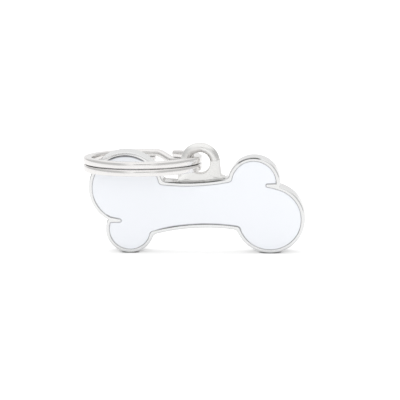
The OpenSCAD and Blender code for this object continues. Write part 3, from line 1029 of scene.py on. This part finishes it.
# Each finish's last colour is the dark tone of its painted shade, and on the plate of a dark line
# too
make_plate(plated(
    "plated_rim", (0.85, 0.852, 0.85),
    roughness=0.14, cloud=0.05, rub=0.03, bump=0.1, dark_tone=(0.03, 0.03, 0.03),
))
make_enamel(fired_enamel("white_enamel", (0.9, 0.92, 0.96), dark_tone=(0.06, 0.06, 0.07)))
make_loop(plated(
    "plated_loop", (0.905, 0.9, 0.883),
    roughness=0.28, cloud=0.08, rub=0.05, bump=0.2, dark_tone=(0.05, 0.05, 0.05),
))
make_solder(plated(
    "plated_solder", (0.93, 0.93, 0.915),
    roughness=0.5, cloud=0.1, rub=0.05, bump=0.4, metallic=0.3,
))
make_ring(plated(
    "plated_wire", (0.89, 0.873, 0.862),
    roughness=0.14, cloud=0.05, rub=0.06, bump=0.15, dark_tone=(0.05, 0.05, 0.05),
))


# The camera: its angles in degrees, its distance in metres, the width that it sees, and its
# aim, which is then moved right and down in the picture
AZIMUTH, ELEVATION, ROLL = 4.5, 14.0, 0.9
DISTANCE = 0.5
PHOTO_PIXELS = 400
PIXELS_PER_MM = 5.84
FRAME_WIDTH = PHOTO_PIXELS / PIXELS_PER_MM * MM
AIM = (0.363, 0, 9.2)
AIM_RIGHT = 0.582
AIM_DOWN = 0.19
SENSOR = 36
NEAREST, FARTHEST = 0.01, 20

# The table: half its width in metres, its tone, the glow that the camera sees besides, and
# the narrow shade where something stands on it
TABLE_HALF = 2
TABLE_TONE = 0.92
TABLE_GLOW = 0.26
CONTACT_REACH = 0.35 * MM
CONTACT_SAMPLES = 16
CONTACT_POWER = 0.75

# The light on what scatters it, and how much greyer the white tent in the mirrors is at its
# sides, at its back and in a slot in front of the tag. Each grey comes in by soft steps, given
# as where they start and end along one part of a ray's direction.
ROOM_LIGHT = 0.84
SIDES_GREY = 0.4
SIDES_STEP = (0.2, 0.7)
SIDES_TOP_STEP = (0.45, 0.8)
BACK_GREY = 0.13
BACK_STEP = (0.4, 0.9)
SLOT_GREY = 0.6
SLOT_X, SLOT_Z = 0.076, 0.242
SLOT_WIDTH_STEP = (0.34, 0.22)
SLOT_HEIGHT_STEP = (0.14, 0.05)
SLOT_FRONT_STEP = (0.0, -0.5)

# Soft lamps as (name, place, size, watts), in metres
LAMPS = (
    ("lamp_top", (-0.05, 0.12, 0.55), 0.4, 1.0),
    ("lamp_front", (0.05, -0.6, 0.1), 0.5, 0.75),
)


def camera():
    """The photograph's camera, far off, with the picture turned a little."""
    a, e, r = math.radians(AZIMUTH), math.radians(ELEVATION), math.radians(ROLL)
    back = Vector((math.sin(a) * math.cos(e), -math.cos(a) * math.cos(e), math.sin(e)))
    right = Vector((math.cos(a), math.sin(a), 0))
    up = back.cross(right)
    right, up = right * math.cos(r) - up * math.sin(r), up * math.cos(r) + right * math.sin(r)
    aim = Vector(AIM) * MM + right * AIM_RIGHT * MM - up * AIM_DOWN * MM
    turned = Matrix((right, up, back)).transposed().to_4x4()
    view = bpy.data.objects.new("camera", bpy.data.cameras.new("camera"))
    bpy.context.scene.collection.objects.link(view)
    view.matrix_world = Matrix.Translation(aim + back * DISTANCE) @ turned
    view.data.sensor_width = SENSOR
    view.data.lens = SENSOR * DISTANCE / FRAME_WIDTH
    view.data.clip_start, view.data.clip_end = NEAREST, FARTHEST
    bpy.context.scene.camera = view


def floor():
    """A plain white table with a narrow contact shade."""
    w = TABLE_HALF
    mesh = bpy.data.meshes.new("floor")
    mesh.from_pydata([(-w, -w, 0), (w, -w, 0), (w, w, 0), (-w, w, 0)], [], [(0, 1, 2, 3)])
    obj = bpy.data.objects.new("floor", mesh)
    bpy.context.scene.collection.objects.link(obj)
    m = bpy.data.materials.new("white_table")
    m.use_nodes = True
    t = m.node_tree
    shader = t.nodes["Principled BSDF"]
    shader.inputs["Roughness"].default_value = 0.9
    shader.inputs["Specular IOR Level"].default_value = 0
    shader.inputs["Emission Color"].default_value = (1, 1, 1, 1)
    rays = t.nodes.new("ShaderNodeLightPath")
    near = t.nodes.new("ShaderNodeAmbientOcclusion")
    near.inputs["Distance"].default_value = CONTACT_REACH
    near.samples = CONTACT_SAMPLES
    clear = math_node(t, "POWER", near.outputs["AO"], CONTACT_POWER)
    tone = t.nodes.new("ShaderNodeCombineColor")
    for k in range(3):
        t.links.new(math_node(t, "MULTIPLY", clear, TABLE_TONE), tone.inputs[k])
    t.links.new(tone.outputs[0], shader.inputs["Base Color"])
    seen = math_node(t, "MULTIPLY", rays.outputs["Is Camera Ray"], TABLE_GLOW)
    t.links.new(math_node(t, "MULTIPLY", seen, clear), shader.inputs["Emission Strength"])
    mesh.materials.append(m)


def studio():
    """White all round for the camera, a little less for what scatters light, and in mirrors
    a white tent with greyer sides and back and a grey slot in front of the tag."""
    world = bpy.data.worlds.new("studio")
    world.use_nodes = True
    t = world.node_tree
    t.nodes.clear()
    new = t.nodes.new
    rays = new("ShaderNodeLightPath").outputs
    split = new("ShaderNodeSeparateXYZ")
    t.links.new(new("ShaderNodeTexCoord").outputs["Generated"], split.inputs[0])
    x, y, z = split.outputs[:3]

    def background(strength):
        shader = new("ShaderNodeBackground")
        shader.inputs["Color"].default_value = (1, 1, 1, 1)
        shader.inputs["Strength"].default_value = strength
        return shader

    def times(a, b):
        return math_node(t, "MULTIPLY", a, b)

    def larger(a, b):
        return math_node(t, "MAXIMUM", a, b)

    def soft_step(value, start, end):
        """0 up to start and 1 from end on, along one part of a ray's direction."""
        ramp = new("ShaderNodeMapRange")
        ramp.interpolation_type = "SMOOTHSTEP"
        ramp.inputs["From Min"].default_value = start
        ramp.inputs["From Max"].default_value = end
        t.links.new(value, ramp.inputs["Value"])
        return ramp.outputs[0]

    def close_to(value, middle, outside, inside):
        """1 within inside of the middle and 0 past outside of it."""
        off = math_node(t, "ABSOLUTE", math_node(t, "SUBTRACT", value, middle))
        return soft_step(off, outside, inside)

    white, lit, tent = background(1.0), background(ROOM_LIGHT), background(1.0)
    aside = soft_step(math_node(t, "ABSOLUTE", x), *SIDES_STEP)
    low_wall = math_node(t, "SUBTRACT", 1.0, soft_step(z, *SIDES_TOP_STEP))
    sides = times(times(aside, low_wall), SIDES_GREY)
    back = times(soft_step(y, *BACK_STEP), BACK_GREY)
    wide = close_to(x, SLOT_X, *SLOT_WIDTH_STEP)
    high = close_to(z, SLOT_Z, *SLOT_HEIGHT_STEP)
    slot = times(times(wide, high), times(soft_step(y, *SLOT_FRONT_STEP), SLOT_GREY))
    level = math_node(t, "SUBTRACT", 1.0, larger(slot, larger(sides, back)))
    first, second = new("ShaderNodeMixShader"), new("ShaderNodeMixShader")
    join(t, [
        (level, tent.inputs["Color"]),
        (rays["Is Glossy Ray"], first.inputs[0]),
        (lit.outputs[0], first.inputs[1]),
        (tent.outputs[0], first.inputs[2]),
        (larger(rays["Is Camera Ray"], rays["Is Transmission Ray"]), second.inputs[0]),
        (first.outputs[0], second.inputs[1]),
        (white.outputs[0], second.inputs[2]),
        (second.outputs[0], new("ShaderNodeOutputWorld").inputs[0]),
    ])
    bpy.context.scene.world = world
    for name, place, size, watts in LAMPS:
        lamp = bpy.data.objects.new(name, bpy.data.lights.new(name, "AREA"))
        lamp.data.energy = watts
        lamp.data.size = size
        lamp.location = place
        lamp.visible_glossy = False
        lamp.rotation_euler = Vector(place).to_track_quat("Z", "Y").to_euler()
        bpy.context.scene.collection.objects.link(lamp)
    bpy.context.scene.view_settings.view_transform = "Standard"


camera()
floor()
studio()
